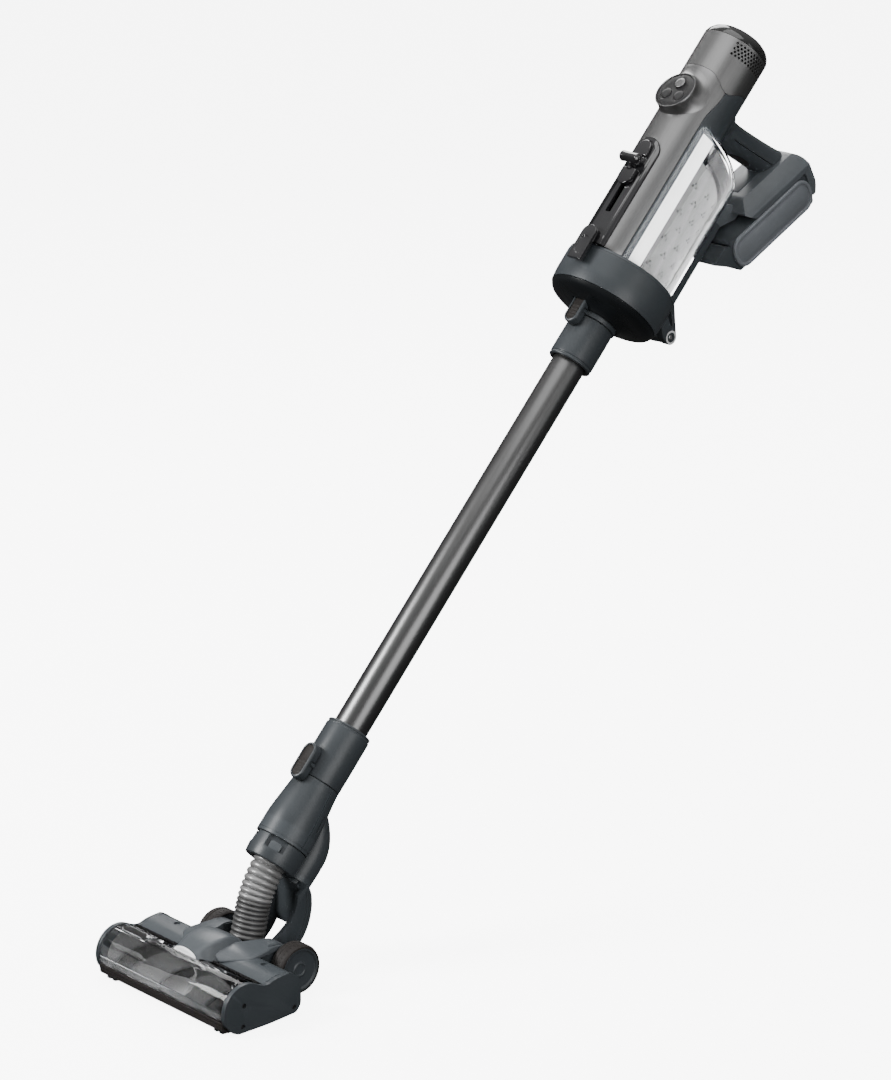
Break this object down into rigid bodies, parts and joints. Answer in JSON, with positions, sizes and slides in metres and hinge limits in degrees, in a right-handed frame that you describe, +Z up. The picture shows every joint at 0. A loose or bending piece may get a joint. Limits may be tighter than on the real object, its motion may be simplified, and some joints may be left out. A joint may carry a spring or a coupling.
{
  "type": "cordless stick vacuum cleaner",
  "caption": "Cordless stick vacuum with a tubular motor unit, clear dust bin, rear handle with battery, rigid wand and a swivelling powered roller head.",
  "frame": {"origin": "on the floor, under the middle of the glide strip on the head's sole", "axes": "+X to the head's right, +Y to its back, +Z up; the wand leans back over +Y"},
  "size_m": [0.198, 0.843, 0.8508],
  "materials": {
    "slate_plastic": "satin moulded plastic, blue-grey",
    "slate_light_plastic": "satin moulded plastic, lighter grey",
    "silver_shell": "satin anodised, silver grey",
    "gunmetal_tube": "satin anodised, dark grey",
    "black_gloss": "glossy moulded plastic, black",
    "clear_plastic": "clear moulded plastic",
    "grey_plastic": "matt moulded plastic, light grey",
    "soft_rubber": "matt rubber, brownish black",
    "plush_fibre": "short dense fibre, light grey with darker spiral stripes",
    "lamp_lens": "white translucent lens",
    "filter_foam": "open-cell foam, dark grey",
    "motor_metal": "plated steel can",
    "steel_pin": "plain ground steel",
    "board_green": "solder-masked circuit board",
    "cell_wrap": "shrink-wrapped cells",
    "hose_plastic": "satin ribbed flexible plastic"
  },
  "bodies": {
    "power_unit": {"motor_cover": "silver_shell", "motor_tray": "slate_plastic", "exhaust_sleeve": "silver_shell", "exhaust_cap": "black_gloss", "exhaust_filter": "filter_foam", "motor_can": "motor_metal", "circuit_board": "board_green", "channel_track": "black_gloss", "control_pod": "slate_light_plastic", "control_face": "black_gloss", "bin_shell": "clear_plastic", "dust_pod": "grey_plastic", "pre_motor_filter": "filter_foam", "handle_grip": "slate_plastic", "grip_pad": "soft_rubber", "battery_dock": "slate_light_plastic", "rear_spine": "slate_plastic", "hinge_pin": "steel_pin"},
    "impeller": {"fan_impeller": "black_gloss"},
    "power_key": {"power_button": "silver_shell"},
    "left_key": {"mode_button_left": "black_gloss"},
    "right_key": {"mode_button_right": "black_gloss"},
    "slider": {"eject_slider": "black_gloss"},
    "latch": {"lid_latch": "black_gloss"},
    "battery": {"battery_case": "slate_plastic", "battery_plate_left": "slate_light_plastic", "battery_plate_right": "slate_light_plastic", "battery_cells": "cell_wrap"},
    "battery_catch": {"battery_latch": "black_gloss"},
    "lid": {"lid_bezel": "slate_plastic", "lid_nose": "slate_light_plastic", "lid_seal": "soft_rubber", "inlet_collar": "slate_plastic"},
    "wand_lever": {"wand_release": "black_gloss"},
    "wand": {"wand_tube": "gunmetal_tube", "wand_top_cuff": "slate_plastic", "wand_lower_cuff": "slate_plastic"},
    "head_lever": {"head_release": "black_gloss"},
    "neck": {"neck_shell": "slate_plastic", "neck_collar": "slate_plastic", "steering_pin": "steel_pin", "hose": "hose_plastic"},
    "yoke": {"yoke_arm": "slate_plastic"},
    "head": {"head_base": "slate_plastic", "head_cover": "slate_plastic", "duct_cover": "slate_light_plastic", "end_cap_left": "slate_plastic", "end_cap_right": "slate_plastic", "headlight": "lamp_lens", "bumper_strip": "soft_rubber", "glide_strip": "soft_rubber", "brush_motor": "motor_metal", "drive_belt": "soft_rubber"},
    "brush": {"brush_core": "black_gloss", "plush_sleeve": "plush_fibre"},
    "pulley": {"motor_pulley": "motor_metal"},
    "window": {"brush_window": "clear_plastic"},
    "catch": {"window_catch": "clear_plastic"},
    "left_wheel": {"wheel_left": "soft_rubber"},
    "right_wheel": {"wheel_right": "soft_rubber"}
  },
  "joints": [
    {"name": "impeller_spin", "type": "hinge", "parent": "power_unit", "child": "impeller", "pos_m": [0, 0.6162, 0.73229], "axis": [0, 0.6769, 0.7361], "continuous": true},
    {"name": "power_press", "type": "slide", "parent": "power_unit", "child": "power_key", "axis": [0, 0.5793, -0.8151], "range_m": [0, 0.0012], "stiffness_N_per_m": 600, "springref_m": -0.0006},
    {"name": "left_mode_press", "type": "slide", "parent": "power_unit", "child": "left_key", "axis": [0, 0.5793, -0.8151], "range_m": [0, 0.0012], "stiffness_N_per_m": 600, "springref_m": -0.0006},
    {"name": "right_mode_press", "type": "slide", "parent": "power_unit", "child": "right_key", "axis": [0, 0.5793, -0.8151], "range_m": [0, 0.0012], "stiffness_N_per_m": 600, "springref_m": -0.0006},
    {"name": "eject_slide", "type": "slide", "parent": "power_unit", "child": "slider", "axis": [0, -0.6769, -0.7361], "range_m": [0, 0.05]},
    {"name": "lid_latch_swing", "type": "hinge", "parent": "power_unit", "child": "latch", "pos_m": [0, 0.49949, 0.663], "axis": [-1, 0, 0], "range_deg": [0, 5]},
    {"name": "battery_slide", "type": "slide", "parent": "power_unit", "child": "battery", "axis": [0, 0.4648, -0.8854], "range_m": [0, 0.06]},
    {"name": "battery_catch_press", "type": "slide", "parent": "battery", "child": "battery_catch", "axis": [0, -0.4648, 0.8854], "range_m": [0, 0.0016], "stiffness_N_per_m": 800, "springref_m": -0.0006},
    {"name": "lid_hinge", "type": "hinge", "parent": "power_unit", "child": "lid", "pos_m": [0, 0.60214, 0.54415], "axis": [1, 0, 0], "range_deg": [0, 80]},
    {"name": "wand_lever_rock", "type": "hinge", "parent": "lid", "child": "wand_lever", "pos_m": [0, 0.48403, 0.59299], "axis": [1, 0, 0], "range_deg": [0, 3], "stiffness_Nm_per_rad": 0.6, "springref_deg": -2.86},
    {"name": "wand_pull", "type": "slide", "parent": "lid", "child": "wand", "axis": [0, -0.6769, -0.7361], "range_m": [0, 0.045]},
    {"name": "head_lever_rock", "type": "hinge", "parent": "wand", "child": "head_lever", "pos_m": [0, 0.12664, 0.20433], "axis": [-1, 0, 0], "range_deg": [0, 3], "stiffness_Nm_per_rad": 0.6, "springref_deg": -2.86},
    {"name": "neck_pull", "type": "slide", "parent": "wand", "child": "neck", "axis": [0, -0.6769, -0.7361], "range_m": [0, 0.042]},
    {"name": "steering", "type": "hinge", "parent": "neck", "child": "yoke", "pos_m": [0, 0.11121, 0.08266], "axis": [0, 0.6769, 0.7361], "range_deg": [-35, 35], "stiffness_Nm_per_rad": 0.5, "deforming": ["hose"]},
    {"name": "head_pitch", "type": "hinge", "parent": "yoke", "child": "head", "pos_m": [0, 0.065, 0.025], "axis": [1, 0, 0], "range_deg": [-38, 24], "deforming": ["hose"]},
    {"name": "brush_spin", "type": "hinge", "parent": "head", "child": "brush", "pos_m": [0, -0.03, 0.0235], "axis": [1, 0, 0], "continuous": true},
    {"name": "pulley_spin", "type": "hinge", "parent": "head", "child": "pulley", "pos_m": [0, 0.013, 0.024], "axis": [1, 0, 0], "continuous": true},
    {"name": "window_hinge", "type": "hinge", "parent": "head", "child": "window", "pos_m": [0, -0.054, 0.016], "axis": [1, 0, 0], "range_deg": [0, 50]},
    {"name": "window_catch_slide", "type": "slide", "parent": "window", "child": "catch", "axis": [-1, 0, 0], "range_m": [0, 0.004]},
    {"name": "left_wheel_spin", "type": "hinge", "parent": "head", "child": "left_wheel", "pos_m": [-0.056, 0.065, 0.025], "axis": [1, 0, 0], "continuous": true},
    {"name": "right_wheel_spin", "type": "hinge", "parent": "head", "child": "right_wheel", "pos_m": [0.056, 0.065, 0.025], "axis": [1, 0, 0], "continuous": true}
  ],
  "couplings": [
    {"joint": "lid_latch_swing", "follows": "eject_slide", "rad_per_m": 1.7436},
    {"joint": "pulley_spin", "follows": "brush_spin", "ratio": 1.8}
  ]
}
